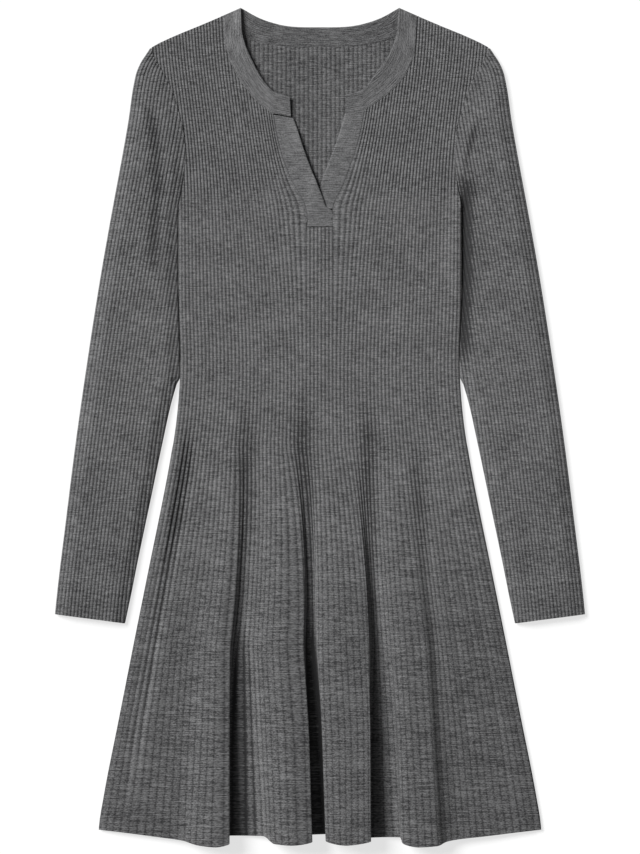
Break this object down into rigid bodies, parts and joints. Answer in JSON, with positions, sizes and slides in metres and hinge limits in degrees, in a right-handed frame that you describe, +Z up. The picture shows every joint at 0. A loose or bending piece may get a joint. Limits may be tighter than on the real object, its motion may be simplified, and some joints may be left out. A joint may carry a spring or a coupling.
{
  "type": "sweater dress",
  "caption": "Long-sleeved rib-knit mini dress laid flat, with a round banded neck, a short overlapping front slit and a skirt that falls in deep flutes.",
  "frame": {"origin": "on the flat underside, in the middle of the back panel, half way between the neck points and the lowest hem", "axes": "+Y from hem to neck, +X to the viewer's right when looking down on the front, +Z up out of the front"},
  "size_m": [0.568, 0.898, 0.0299],
  "materials": {
    "rib_knit": "dark grey melange rib knit, matt",
    "plain_knit": "dark grey melange plain knit, matt"
  },
  "bodies": {
    "root": {"front_panel": "rib_knit", "back_panel": "rib_knit", "sleeve_left": "rib_knit", "sleeve_right": "rib_knit", "neckband_front_left": "plain_knit", "neckband_front_right": "plain_knit", "neckband_back": "plain_knit", "placket_left": "plain_knit", "placket_right": "plain_knit"}
  },
  "joints": []
}
